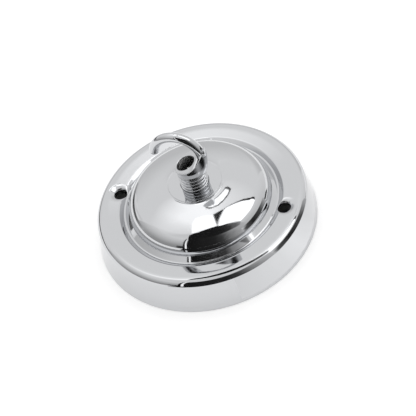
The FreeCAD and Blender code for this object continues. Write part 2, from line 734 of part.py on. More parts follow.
def make_earth_screw():
    """Slotted terminal screw through the cup washer, the tab and the nut."""
    body = new_body("earth_screw")
    section = new_sketch(body, "screw_section", "XZ_Plane")
    screw_profile(section)
    revolve(body, "screw_turned", section)
    slot = new_sketch(body, "screw_slot", "XZ_Plane")
    draw_box(slot, "-sizes.earth_slot / 2", "sizes.earth_head_height / 2",
             "sizes.earth_slot / 2", f"sizes.earth_head_height + {OVERRUN}")
    pocket(body, "driver_slot", slot, "2 * sizes.earth_head_diameter", Midplane=True)
    return turn_across(body, f"{TAB_FACE} + sizes.earth_cup_thickness")


def check(pieces):
    """Stop if any feature failed or any piece is not one sound solid."""
    for thing in doc.Objects:
        if "Invalid" in thing.State or "Error" in thing.State:
            raise RuntimeError(f"{thing.Name} failed: {thing.State}")
    for piece in pieces:
        if piece.Shape.isNull() or not piece.Shape.isValid():
            raise RuntimeError(f"{piece.Label} has no valid shape")
        if len(piece.Shape.Solids) != 1:
            raise RuntimeError(f"{piece.Label} is not one solid")


def main():
    """Build every piece, check it and write it."""
    pieces = [
        make_cover(),
        make_hook(),
        make_earth_tag(),
        make_lock_washer(),
        make_lock_nut(),
        make_earth_screw(),
        make_earth_cup(),
        make_earth_nut(),
    ]
    doc.recompute()
    check(pieces)
    os.makedirs("parts", exist_ok=True)
    for piece in pieces:
        piece.Shape.exportStep(f"parts/{piece.Label}.step")
        print(f"{piece.Label}: {piece.Shape.Volume:.1f} cubic mm, {piece.Shape.BoundBox}")


main()
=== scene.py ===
"""Looks of a chromed ceiling rose with a hollow hook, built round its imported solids."""

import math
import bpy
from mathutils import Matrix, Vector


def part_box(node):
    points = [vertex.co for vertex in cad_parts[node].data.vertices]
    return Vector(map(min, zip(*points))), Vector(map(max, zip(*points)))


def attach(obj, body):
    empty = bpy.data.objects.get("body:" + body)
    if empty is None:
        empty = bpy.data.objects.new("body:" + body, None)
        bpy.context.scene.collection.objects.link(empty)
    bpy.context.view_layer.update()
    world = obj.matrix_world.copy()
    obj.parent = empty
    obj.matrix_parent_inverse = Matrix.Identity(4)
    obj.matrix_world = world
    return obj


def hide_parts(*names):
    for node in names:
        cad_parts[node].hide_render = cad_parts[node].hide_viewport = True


bl_info = {
    "name": "Ceiling Rose",
    "version": (1, 0, 0),
    "blender": (4, 5, 0),
    "location": "View3D > Sidebar > Ceiling Rose",
    "description": "Builds the cover, the threaded hook, the terminal and the studio of a ceiling rose",
    "category": "Object",
}

import bpy
import numpy as np
from mathutils import Matrix, Vector

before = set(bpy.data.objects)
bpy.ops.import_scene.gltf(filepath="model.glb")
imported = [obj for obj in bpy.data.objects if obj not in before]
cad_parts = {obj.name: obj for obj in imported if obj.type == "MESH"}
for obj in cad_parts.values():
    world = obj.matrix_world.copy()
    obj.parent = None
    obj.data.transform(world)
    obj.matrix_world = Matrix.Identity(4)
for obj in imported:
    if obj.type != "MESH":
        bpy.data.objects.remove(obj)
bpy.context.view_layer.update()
MM = 0.001
DEGREE = math.radians(1)


def length(name, description, millimetres):
    """A size that the user can change, given in millimetres and kept in metres."""
    return bpy.props.FloatProperty(
        name=name, description=description, default=millimetres * MM, unit="LENGTH", precision=5)


def angle(name, description, degrees):
    """An angle that the user can change, given in degrees."""
    return bpy.props.FloatProperty(
        name=name, description=description, default=degrees * DEGREE, subtype="ANGLE")


def colour(name, description, code):
    """A colour that the user can change, given as an sRGB hex code."""
    return bpy.props.FloatVectorProperty(
        name=name, description=description, default=linear(code), size=4, min=0, max=1, subtype="COLOR")


def linear(code):
    """Linear red, green, blue and alpha of an sRGB hex code."""
    parts = [int(code[at:at + 2], 16) / 255 for at in (1, 3, 5)]
    return *(part / 12.92 if part <= 0.04045 else ((part + 0.055) / 1.055) ** 2.4 for part in parts), 1.0


class CoverSizes(bpy.types.PropertyGroup):
    """Sizes of the pressed cover, the same as in the solid that it stands for."""
    outer_diameter: length("Outer diameter", "Width across the foot of the skirt", 108)
    sheet: length("Sheet", "Thickness of the pressed sheet", 1.0)
    draft: angle("Draft", "Lean of the skirt", 9)
    rim_height: length("Rim height", "Height of the shoulder's top", 18.2)
    shoulder: length("Shoulder", "Radius between the skirt and the rim", 3.0)
    rim_fall: angle("Rim fall", "Slope of the rim towards the groove", 6)
    rim_width: length("Rim width", "From the foot of the skirt in to the crease of the dome", 19.2)
    crown: length("Crown", "How far the rim's outer part falls towards the shoulder", 0.2)
    crown_width: length("Crown width", "Width of the part of the rim that falls", 3.4)
    roll: length("Roll", "Radius where the rim rolls into the groove", 1.8)
    groove_fall: angle("Groove fall", "Slope of the groove's outer side", 38)
    groove_depth: length("Groove depth", "From the shoulder's top to the floor of the groove", 2.6)
    groove: length("Groove", "Radius of the groove's floor", 1.0)
    cove_width: length("Cove width", "From the crease to the middle of the groove", 2.9)
    cove_angle: angle("Cove angle", "Slope of the groove's inner side", 38)
    wall_height: length("Wall height", "From the groove's floor to the start of the knuckle", 2.6)
    knuckle: length("Knuckle", "Radius at the foot of the dome", 9.0)
    dome_rise: length("Dome rise", "From the shoulder's top to the seat", 12.5)
    seat_diameter: length("Seat diameter", "Width of the flat seat on the dome", 26)
    seat_step: length("Seat step", "Height of the seat's edge", 0.3)
    seat_fall: length("Seat fall", "How far the crown falls away round the seat", 0.5)
    seat_ease: length("Seat ease", "Width over which it falls away", 2.2)
    bore: length("Bore", "Radius of the tapped hole in the neck", 6.85)
    neck_wall: length("Neck wall", "Thickness of the neck", 1.6)
    neck_depth: length("Neck depth", "How far the neck is turned inwards", 2.5)
    hole_inset: length("Hole inset", "From the middle of the groove to a fixing hole", 3.8)
    hole: length("Hole", "Radius of a fixing hole", 3.0)
    lip: length("Lip", "Radius rolled round a fixing hole", 1.6)
    lip_depth: length("Lip depth", "From the shoulder's top to the foot of the rolled lip", 2.6)
    lip_skirt: length("Lip skirt", "Straight length below the rolled lip", 0.4)
    dish: angle("Dish", "Slope of the dish round a fixing hole", 28)


class HookSizes(bpy.types.PropertyGroup):
    """Sizes of the hook and its stem, the same as in the solid that they stand for."""
    thread: length("Thread", "Outside radius of the thread", 6.8)
    thread_pitch: length("Thread pitch", "From one turn of the thread to the next", 2.05)
    thread_depth: length("Thread depth", "From the crest to the root of the thread", 0.85)
    stem_end: length("Stem end", "Height of the stem's lower end", 16.9)
    collar_foot: length("Collar foot", "Height at which the thread ends", 39.0)
    collar_taper: length("Collar taper", "Height over which the collar widens", 4.6)
    collar: length("Collar", "Radius of the collar below the mouth", 7.4)
    cable_bore: length("Cable bore", "Radius of the cable way in the stem", 4.0)
    mouth: length("Mouth", "Height of the slanted mouth on the stem's axis", 44.02)
    mouth_angle: angle("Mouth angle", "Slant of the mouth", 16)
    mouth_bore: length("Mouth bore", "Radius of the cable way at the mouth", 4.6)
    mouth_shift: length("Mouth shift", "From the stem's axis to the middle of the mouth", 1.9)
    scoop_start: length("Scoop start", "Where the mouth begins to sweep up to the hook", 1.5)
    scoop: length("Scoop", "Radius of that sweep", 8.7)
    scoop_sweep: angle("Scoop sweep", "Angle of that sweep", 47)
    rod: length("Rod", "Radius of the hook's rod", 2.3)
    bend: length("Bend", "Radius of the hook", 11.6)
    bend_height: length("Bend height", "Height of the hook's centre", 49.24)
    bend_sweep: angle("Bend sweep", "Angle of the hook's bend", 170)
    root_x: length("Root", "From the stem's axis to the foot of the bend", 7.6)
    root: length("Root radius", "Radius of the rod below the bend", 20)
    root_sweep: angle("Root sweep", "Angle of the rod below the bend", 33)
    sheath: length("Sheath", "How far the mouth's rim stands off the rod where it runs out", 0.7)
    sheath_foot: length("Sheath foot", "Height at which the rim starts to stand off the rod", 47)
    sheath_rise: length("Sheath rise", "Height over which it does", 7)


class Finishes(bpy.types.PropertyGroup):
    """Colours of the metals and of the studio."""
    chrome: colour("Chrome", "Polished chromium plate", "#C9CACC")
    zinc: colour("Zinc", "Bright zinc plate", "#B9B7B0")
    casting: colour("Casting", "Zinc as it left the mould", "#DADADA")
    brass: colour("Brass", "Bright stamped brass", "#C9A45C")
    paper: colour("Paper", "Sweep that the rose stands on", "#F4F4F4")


class CameraSet(bpy.types.PropertyGroup):
    """Where the camera stands and what it looks at."""
    azimuth: angle("Azimuth", "Turn of the camera round the rose", 29.2)
    elevation: angle("Elevation", "Height of the camera above the horizon", 48.16)
    roll: angle("Roll", "Lean of the picture", 17.55)
    distance: length("Distance", "From the camera to the foot of the axis", 731.4)
    focal: bpy.props.FloatProperty(name="Focal length", description="Lens, in millimetres", default=129.8)
    aim: bpy.props.FloatVectorProperty(
        name="Aim", description="Point in the middle of the picture",
        default=(0.00285, -0.00061, 0.012), unit="LENGTH")


def add_node(tree, kind, settings=None, **links):
    """Add a shader node, set its own properties and its sockets, and link sockets given as outputs."""
    node = tree.nodes.new("ShaderNode" + kind)
    for name, choice in (settings or {}).items():
        setattr(node, name, choice)
    for name, entry in links.items():
        key = int(name[1:]) if name[0] == "n" and name[1:].isdigit() else name.replace("_", " ")
        socket = node.inputs[key]
        if isinstance(entry, bpy.types.NodeSocket):
            tree.links.new(entry, socket)
        else:
            socket.default_value = entry
    return node


def new_material(name):
    """A material, its node tree and the object's coordinates in metres for its patterns."""
    material = bpy.data.materials.new(name)
    material.use_nodes = True
    tree = material.node_tree
    tree.nodes.clear()
    return material, tree, add_node(tree, "TexCoord").outputs["Object"]


def chromium_plate(name, base, smooth, rough, mark_mm):
    """Chromium plate over polished metal: a cool mirror with faint buffing marks and a little haze."""
    material, tree, place = new_material(name)
    # Buffing marks are finer than this, and drawn coarse so that they show
    marks = add_node(tree, "TexNoise", Vector=place, Scale=1 / (mark_mm * MM), Detail=4.0, Roughness=0.6)
    haze = add_node(tree, "MapRange", Value=marks.outputs["Fac"],
                    From_Min=0.35, From_Max=0.7, To_Min=smooth, To_Max=rough)
    shader = add_node(tree, "BsdfPrincipled", Base_Color=tuple(base), Metallic=1.0,
                      Roughness=haze.outputs["Result"])
    add_node(tree, "OutputMaterial", Surface=shader.outputs["BSDF"])
    return material


def bare_casting(base):
    """Zinc as it left the mould, thinly plated inside the bore: pale, half dull and finely pitted."""
    material, tree, place = new_material("as_cast_zinc")
    pits = add_node(tree, "TexNoise", Vector=place, Scale=1 / (0.7 * MM), Detail=4.0)
    rough = add_node(tree, "MapRange", Value=pits.outputs["Fac"], To_Min=0.14, To_Max=0.3)
    bump = add_node(tree, "Bump", Strength=0.2, Distance=0.05 * MM, Height=pits.outputs["Fac"])
    shader = add_node(tree, "BsdfPrincipled", Base_Color=tuple(base), Metallic=1.0,
                      Roughness=rough.outputs["Result"], Normal=bump.outputs["Normal"])
    add_node(tree, "OutputMaterial", Surface=shader.outputs["BSDF"])
    return material


def zinc_plate(base):
    """Bright zinc plate on turned steel: grey, with a blotched dull sheen and slight turning marks."""
    material, tree, place = new_material("zinc_plated_steel")
    # Turning marks are finer than this, and drawn coarse so that they show
    lines = add_node(tree, "TexWave", {"wave_type": "RINGS", "rings_direction": "Z"},
                     Vector=place, Scale=1 / (18 * MM), Distortion=1.5, Detail=2.0)
    blotch = add_node(tree, "TexNoise", Vector=place, Scale=1 / (3 * MM), Detail=3.0)
    rough = add_node(tree, "MapRange", Value=blotch.outputs["Fac"], To_Min=0.22, To_Max=0.42)
    bump = add_node(tree, "Bump", Strength=0.15, Distance=0.05 * MM, Height=lines.outputs["Fac"])
    shader = add_node(tree, "BsdfPrincipled", Base_Color=tuple(base), Metallic=1.0,
                      Roughness=rough.outputs["Result"], Normal=bump.outputs["Normal"])
    add_node(tree, "OutputMaterial", Surface=shader.outputs["BSDF"])
    return material


def stamped_brass(base):
    """Stamped brass: warm yellow, with a slightly tarnished and scuffed surface."""
    material, tree, place = new_material("stamped_brass")
    tarnish = add_node(tree, "TexNoise", Vector=place, Scale=1 / (4 * MM), Detail=5.0)
    tint = add_node(tree, "Mix", {"data_type": "RGBA"}, Factor=tarnish.outputs["Fac"],
                    n6=tuple(base), n7=linear("#A9803C"))
    rough = add_node(tree, "MapRange", Value=tarnish.outputs["Fac"], To_Min=0.18, To_Max=0.4)
    shader = add_node(tree, "BsdfPrincipled", Base_Color=tint.outputs[2], Metallic=1.0,
                      Roughness=rough.outputs["Result"])
    add_node(tree, "OutputMaterial", Surface=shader.outputs["BSDF"])
    return material


def make_piece(name, points, normals, faces, material, slot, *nodes):
    """Turn arrays into a smooth mesh piece that rides on the body and stands for its solids."""
    mesh = bpy.data.meshes.new(name)
    mesh.from_pydata(points.tolist(), [], faces.tolist())
    mesh.update()
    mesh.polygons.foreach_set("use_smooth", [True] * len(mesh.polygons))
    mesh.normals_split_custom_set_from_vertices(normals.tolist())
    mesh.materials.append(material)
    piece = bpy.data.objects.new(name, mesh)
    bpy.context.scene.collection.objects.link(piece)
    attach(piece, "root")
    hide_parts(*nodes)
    return piece


def unit(vectors):
    """Vectors of length 1."""
    return vectors / np.linalg.norm(vectors, axis=-1, keepdims=True)


def ring_faces(numbers):
    """Quads between rows of point numbers that each run round in a ring."""
    turned = np.roll(numbers, -1, 1)
    return np.stack([numbers[:-1], turned[:-1], turned[1:], numbers[1:]], -1)


def straight(first, last, step):
    """Points along a line without its last point, at most a step apart, with the normals on its right."""
    run = np.subtract(last, first)
    far = np.hypot(*run)
    count = max(1, math.ceil(far / step))
    spots = np.add(first, np.outer(np.arange(count) / count, run))
    return spots, np.tile([run[1] / far, -run[0] / far], (count, 1))


def curved(centre, radius, first, last, step):
    """Points along an arc without its last point; going round clockwise leaves the normals inside."""
    count = max(4, math.ceil(abs(last - first) / step))
    turn = first + (last - first) * np.arange(count) / count
    way = np.stack([np.cos(turn), np.sin(turn)], -1)
    return np.add(centre, radius * way), way if last > first else -way


def crossing(first, first_way, second, second_way):
    """Point where two lines meet, each given by a point and a direction."""
    share = np.linalg.solve(np.stack([first_way, -np.asarray(second_way)], -1), np.subtract(second, first))
    return np.add(first, share[0] * np.asarray(first_way))


def rounded_path(corners, step, turn_step):
    """A path through corners with their own radii, as points and normals without the last corner."""
    runs = []
    start = np.asarray(corners[0][0], float)
    for (before, _), (corner, radius), (after, _) in zip(corners, corners[1:], corners[2:]):
        corner = np.asarray(corner, float)
        came, goes = unit(corner - before), unit(after - corner)
        turn = math.atan2(came[0] * goes[1] - came[1] * goes[0], came @ goes)
        cut = radius * math.tan(abs(turn) / 2)
        touch = corner - came * cut
        side = math.copysign(1, turn)
        centre = touch + side * radius * np.array([-came[1], came[0]])
        first = math.atan2(*(touch - centre)[::-1])
        runs += [straight(start, touch, step), curved(centre, radius, first, first + turn, turn_step)]
        start = corner + goes * cut
    runs.append(straight(start, corners[-1][0], step))
    return np.concatenate([run[0] for run in runs]), np.concatenate([run[1] for run in runs])


class CoverSection:
    """Half section of the cover at one depth below its outer face, as radius and height."""

    STEP = 0.9 * MM
    TURN = 7 * DEGREE
    KNUCKLE_TURN = 3 * DEGREE
    CROWN_TURN = 0.35 * DEGREE
    CREASE = 0.3 * MM
    BAND_END = 0.3

    def __init__(self, sizes, depth):
        s = sizes
        self.sizes, self.depth = s, depth
        self.crease_r = s.outer_diameter / 2 - s.rim_width
        self.groove_r = self.crease_r + s.cove_width
        self.hole_r = self.groove_r + s.hole_inset
        self.groove_z = s.rim_height - s.groove_depth
        self.knuckle_z = self.groove_z + s.wall_height
        self.seat_z = s.rim_height + s.dome_rise
        self.lip_z = s.rim_height - s.lip_depth

    def rim(self):
        """Points and normals from the foot to the knuckle, and where the holes' band starts and ends."""
        s, t = self.sizes, self.depth
        up = np.array([-math.sin(s.draft), math.cos(s.draft)])
        foot = np.array([s.outer_diameter / 2 - t / math.cos(s.draft), 0.0])
        high = s.rim_height - s.shoulder
        inset = (s.shoulder + high * math.sin(s.draft)) / math.cos(s.draft)
        middle = np.array([s.outer_diameter / 2 - inset, high])
        across = np.array([-math.cos(s.rim_fall), -math.sin(s.rim_fall)])
        top = middle + (s.shoulder - t) * np.array([-math.sin(s.rim_fall), math.cos(s.rim_fall)])
        fall = np.array([-math.cos(s.groove_fall), -math.sin(s.groove_fall)])
        rise = np.array([-math.cos(s.cove_angle), math.sin(s.cove_angle)])
        centre = np.array([self.groove_r, self.groove_z + s.groove])
        low = centre + (s.groove + t) * np.array([math.sin(s.groove_fall), -math.cos(s.groove_fall)])
        lift = centre + (s.groove + t) * np.array([-math.sin(s.cove_angle), -math.cos(s.cove_angle)])
        wall = np.array([self.crease_r - t, self.knuckle_z])
        shoulder = crossing(foot, up, top, across)
        roll = crossing(top, across, low, fall)
        groove = crossing(low, fall, lift, rise)
        crease = crossing(lift, rise, wall, (0.0, 1.0))
        corners = [(foot, 0), (shoulder, s.shoulder - t), (roll, s.roll - t), (groove, s.groove + t),
                   (crease, self.CREASE + t / 2), (wall, 0)]
        spots, normals = rounded_path(corners, self.STEP, self.TURN)
        end = crease + (lift - crease) * self.BAND_END
        first, last = (int(np.argmin(np.hypot(*(spots - spot).T))) for spot in (top, end))
        return *self.crowned(spots, normals, top[0]), first, last

    def crowned(self, spots, normals, top_r):
        """Let the rim's outer part fall softly towards the shoulder, whose top has this radius."""
        s = self.sizes
        out = np.clip((spots[:, 0] - top_r + s.crown_width) / s.crown_width, 0, None)
        left = 1 - s.crown * out ** 2 / s.rim_height
        steeper = 2 * s.crown * out / s.crown_width * spots[:, 1] / s.rim_height
        normals = np.stack([normals[:, 0] + normals[:, 1] * steeper / left, normals[:, 1] / left], -1)
        return np.stack([spots[:, 0], spots[:, 1] * left], -1), unit(normals)

    def dome(self):
        """Points and normals of the knuckle and the crown up to the edge of the seat."""
        s, t = self.sizes, self.depth
        bend_r = self.crease_r - s.knuckle
        edge_r, edge_z = s.seat_diameter / 2, self.seat_z - s.seat_step
        low, high = -1.0, self.knuckle_z - 0.1 * MM
        for _ in range(80):
            centre = (low + high) / 2
            radius = math.hypot(edge_r, edge_z - centre)
            if math.hypot(bend_r, self.knuckle_z - centre) > radius - s.knuckle:
                high = centre
            else:
                low = centre
        lean = math.atan2(self.knuckle_z - centre, bend_r)
        last = math.acos(edge_r / radius)
        knuckle = curved((bend_r, self.knuckle_z), s.knuckle - t, 0, lean, self.KNUCKLE_TURN)
        crown = curved((0.0, centre), radius - t, lean, last, self.CROWN_TURN)
        spots, normals = (np.concatenate(pair) for pair in zip(knuckle, crown))
        fall, steeper = self.fall_round_seat(spots[:, 0])
        on_crown = spots[:, 0] < bend_r
        slope = normals[on_crown, 0] / normals[on_crown, 1] + steeper[on_crown]
        normals[on_crown] = unit(np.stack([slope, np.ones(len(slope))], -1))
        spots[:, 1] -= fall
        return spots, normals

    def fall_round_seat(self, radius):
        """How far the crown lies below its round form near the seat, and how much steeper it is there."""
        s = self.sizes
        out = radius - s.seat_diameter / 2
        far = self.crease_r - s.knuckle - s.seat_diameter / 2
        share = np.clip(1 - out / far, 0, 1)
        fading = np.exp(-out / s.seat_ease)
        drop = s.seat_fall * (1 - fading) * share ** 2
        steeper = s.seat_fall * (fading / s.seat_ease * share ** 2 - 2 * (1 - fading) * share / far)
        return drop, np.where(share > 0, steeper, 0)


class MeshParts:
    """Points, normals and faces of a piece, gathered part by part."""

    def __init__(self):
        self.points, self.normals, self.faces = [], [], []
        self.count = 0

    def add(self, points, normals):
        """Take an array of points with their normals and give the points' numbers in the same order."""
        shape = points.shape[:-1]
        numbers = self.count + np.arange(math.prod(shape)).reshape(shape)
        self.count += numbers.size
        self.points.append(points.reshape(-1, 3))
        self.normals.append(normals.reshape(-1, 3))
        return numbers

    def joined(self):
        """All points, normals and faces, each as one array."""
        return (np.concatenate(part) for part in (self.points, self.normals, self.faces))


def turned_points(spots, normals, count):
    """Turn a half section about Z; returns points and normals as arrays of section by turn by 3."""
    turn = np.arange(count) * 2 * math.pi / count
    cos, sin = np.cos(turn), np.sin(turn)

    def spin(pairs):
        return np.stack([np.outer(pairs[:, 0], cos), np.outer(pairs[:, 0], sin),
                         np.repeat(pairs[:, 1:], count, 1)], -1)
    return spin(spots), spin(normals)


def soft_least(one, two, reach):
    """The lesser of two heights with the corner between them softened, and the share of the first."""
    share = np.clip(0.5 + 0.5 * (two - one) / reach, 0, 1)
    return two + (one - two) * share - reach * share * (1 - share), share


class ROSE_OT_cover(bpy.types.Operator):
    """Press the cover: skirt, shoulder, rim, groove, dome, seat, neck and the two dished holes"""
    bl_idname = "ceiling_rose.cover"
    bl_label = "Press Cover"

    TURNS = 288
    HALF_BAND = 8
    LIP_RINGS = 12
    DISH_RINGS = 16
    DISH_BLEND = 0.5 * MM
    CUT_EDGE = 0.15 * MM
    SEAT_STEP = 1.6 * MM
    SEAT_TURN = 15 * DEGREE
    STEEPEST = 500

    def seat_path(self, section):
        """Points and normals of the seat's step, the seat, the tapped neck and the seat's underside."""
        s = section.sizes
        edge_r, top = s.seat_diameter / 2, section.seat_z
        step = top - s.seat_step
        under = top - s.sheet
        neck_end = under - s.neck_depth
        neck = s.bore + s.neck_wall
        fine, soft = 0.12 * MM, 0.25 * MM
        foot = (edge_r + 0.35 * MM, step + 0.03 * MM)
        corners = [(foot, 0), ((edge_r, step), fine), ((edge_r, top), fine), ((s.bore, top), soft),
                   ((s.bore, neck_end), fine), ((neck, neck_end), fine), ((neck, under), soft),
                   ((edge_r, under), 0)]
        return rounded_path(corners, self.SEAT_STEP, self.SEAT_TURN)

    def half_section(self, outer, inner):
        """Closed half section of the sheet, and the rows of the holes' band on its outer and inner face."""
        out_rim, out_normals, out_first, out_last = outer.rim()
        in_rim, in_normals, in_first, in_last = inner.rim()
        band = out_last - out_first
        rows = np.arange(len(in_rim))
        spread = np.linspace(in_first, in_last, band + 1)
        even = np.concatenate([rows[:in_first], spread, rows[in_last + 1:]])
        in_rim, in_normals = (np.stack([np.interp(even, rows, part[:, k]) for k in (0, 1)], -1)
                              for part in (in_rim, in_normals))
        out_dome, out_dome_normals = outer.dome()
        in_dome, in_dome_normals = inner.dome()
        seat, seat_normals = self.seat_path(outer)
        inside = np.concatenate([in_rim, in_dome])[::-1]
        inside_normals = -np.concatenate([in_normals, in_dome_normals])[::-1]
        chamfer = 0.1 * MM
        foot = np.array([[inside[-1][0] + chamfer, 0.0], [out_rim[0][0] - chamfer, 0.0]])
        inside[-1][1] = out_rim[0][1] = self.CUT_EDGE
        spots = np.concatenate([out_rim, out_dome[:-1], seat, inside, foot])
        normals = np.concatenate([out_normals, out_dome_normals[:-1], seat_normals, inside_normals,
                                  [[0.0, -1.0]] * len(foot)])
        in_start = len(spots) - len(foot) - 1 - in_first - band
        return spots, normals, ((out_first, out_last), (in_start, in_start + band))

    def dish_height(self, section, far):
        """Height and slope of a hole's lip and dish at distances from its middle."""
        s = section.sizes
        lip = s.lip - section.depth
        middle = s.hole + s.lip
        edge = middle - lip * math.sin(s.dish)
        inside = np.clip((far - middle) / lip, -1, 0)
        high = np.sqrt(1 - inside ** 2)
        slope = np.clip(-inside / np.maximum(high, 0.001), 0, self.STEEPEST)
        flat = section.lip_z + lip * math.cos(s.dish) + (far - edge) * math.tan(s.dish)
        on_lip = far < edge
        height = np.where(on_lip, section.lip_z + lip * high, flat)
        return height, np.where(on_lip, slope, math.tan(s.dish))

    def hole_rings(self, section, spots, normals, border, side):
        """Rings from a hole's lip out to its border in the turned sheet, as points and normals."""
        s = section.sizes
        middle = np.array([side * section.hole_r, 0.0])
        out = border[:, :2] - middle
        reach = np.hypot(*out.T)
        way = out / reach[:, None]
        turn = np.linspace(math.pi, math.pi / 2 + s.dish, self.LIP_RINGS)
        lip = s.hole + s.lip + (s.lip - section.depth) * np.cos(turn)
        share = np.linspace(0, 1, self.DISH_RINGS + 2)[1:-1]
        far = np.concatenate([np.tile(lip, (len(reach), 1)).T, lip[-1] + np.outer(share, reach - lip[-1])])
        places = middle + far[..., None] * way
        radius = np.hypot(places[..., 0], places[..., 1])
        climb = np.argsort(spots[:, 0])
        radii, heights = spots[climb].T
        slopes = -(normals[:, 0] / normals[:, 1])[climb]
        sheet, sheet_slope = (np.interp(radius, radii, part) for part in (heights, slopes))
        dish, dish_slope = self.dish_height(section, far)
        height, lead = soft_least(sheet, dish, self.DISH_BLEND)
        lean = ((lead * sheet_slope / radius)[..., None] * places
                + ((1 - lead) * dish_slope)[..., None] * way)
        level = np.ones((*height.shape, 1))
        return np.concatenate([places, height[..., None]], -1), unit(np.concatenate([-lean, level], -1))

    def dished_hole(self, parts, section, spots, normals, gap, side):
        """Fill one face's gap in the turned sheet with a dish and a lip; returns the lip's edge."""
        loop = np.concatenate([gap[:-1, -1], gap[-1, :0:-1], gap[:0:-1, 0], gap[0, :-1]])
        rings, ring_normals = self.hole_rings(section, spots, normals, parts.points[0][loop], side)
        numbers = parts.add(rings, ring_normals if section.depth == 0 else -ring_normals)
        parts.faces.append(ring_faces(np.concatenate([numbers, loop[None]])).reshape(-1, 4)[:, ::-1])
        return rings[0], numbers[0]

    def cut_edge(self, parts, section, out_edge, in_edge, side):
        """Close a hole's lip with the rounded edge of the cut sheet."""
        s = section.sizes
        soft = self.CUT_EDGE
        floor = section.lip_z - s.lip_skirt
        centre = np.array([side * section.hole_r, 0.0])
        rows = [out_edge[1]]
        for ring, lean, far, height in ((out_edge[0], -1, 0, soft), (out_edge[0], 0, 0.8 * soft, 0),
                                        (in_edge[0], 0, s.sheet - soft, 0), (in_edge[0], 1, s.sheet, soft)):
            way = unit(ring[:, :2] - centre)
            level = np.full((len(way), 1), floor + height)
            down = np.full((len(way), 1), abs(lean) - 1.0)
            rows.append(parts.add(np.concatenate([centre + way * (s.hole + far), level], -1),
                                  np.concatenate([lean * way, down], -1)))
        parts.faces.append(ring_faces(np.stack([*rows, in_edge[1]])).reshape(-1, 4))

    def execute(self, context):
        sizes = context.scene.rose_cover
        outer, inner = CoverSection(sizes, 0.0), CoverSection(sizes, sizes.sheet)
        spots, normals, bands = self.half_section(outer, inner)
        parts = MeshParts()
        number = parts.add(*turned_points(spots, normals, self.TURNS))
        around = np.arange(-self.HALF_BAND, self.HALF_BAND + 1)
        gaps = {1: around % self.TURNS, -1: around + self.TURNS // 2}
        keep = np.ones(number.shape, bool)
        for columns in gaps.values():
            for low, high in bands:
                keep[low:high, columns[:-1]] = False
        parts.faces.append(ring_faces(np.concatenate([number, number[:1]]))[keep])
        for side, columns in gaps.items():
            edges = []
            for section, (low, high) in zip((outer, inner), bands):
                band = slice(low, high + 1)
                edges.append(self.dished_hole(parts, section, spots[band], normals[band],
                                              number[band, columns], side))
            out_edge, in_edge = edges
            in_edge = [np.roll(part[::-1], high - low + 1, 0) for part in in_edge]
            self.cut_edge(parts, outer, out_edge, in_edge, side)
        chrome = chromium_plate("chromium_plate_on_pressed_steel", context.scene.rose_finishes.chrome,
                                smooth=0.035, rough=0.07, mark_mm=6)
        make_piece("pressed_cover", *parts.joined(), chrome, "cover_chrome", "rose_cover")
        return {"FINISHED"}


def arc_distance(x, y, z, centre, radius, first, last):
    """Distance from points to an arc in the plane of X and Z."""
    turn = np.arctan2(z - centre[1], x - centre[0])
    middle = (first + last) / 2
    turn = middle + (turn - middle + math.pi) % (2 * math.pi) - math.pi
    turn = np.clip(turn, first, last)
    return np.sqrt((x - centre[0] - radius * np.cos(turn)) ** 2 + y ** 2
                   + (z - centre[1] - radius * np.sin(turn)) ** 2)


def soft_union(one, two, reach):
    """Join two signed distances with a fillet of about that reach."""
    return soft_least(one, two, reach)[0]


def soft_cut(one, two, reach):
    """Cut the second signed distance out of the first, with the edge rounded by about that reach."""
    return -soft_least(-one, two, reach)[0]


def smooth_step(value, first, last):
    """Rise softly from 0 at the first value to 1 at the last."""
    share = np.clip((value - first) / (last - first), 0, 1)
    return share * share * (3 - 2 * share)


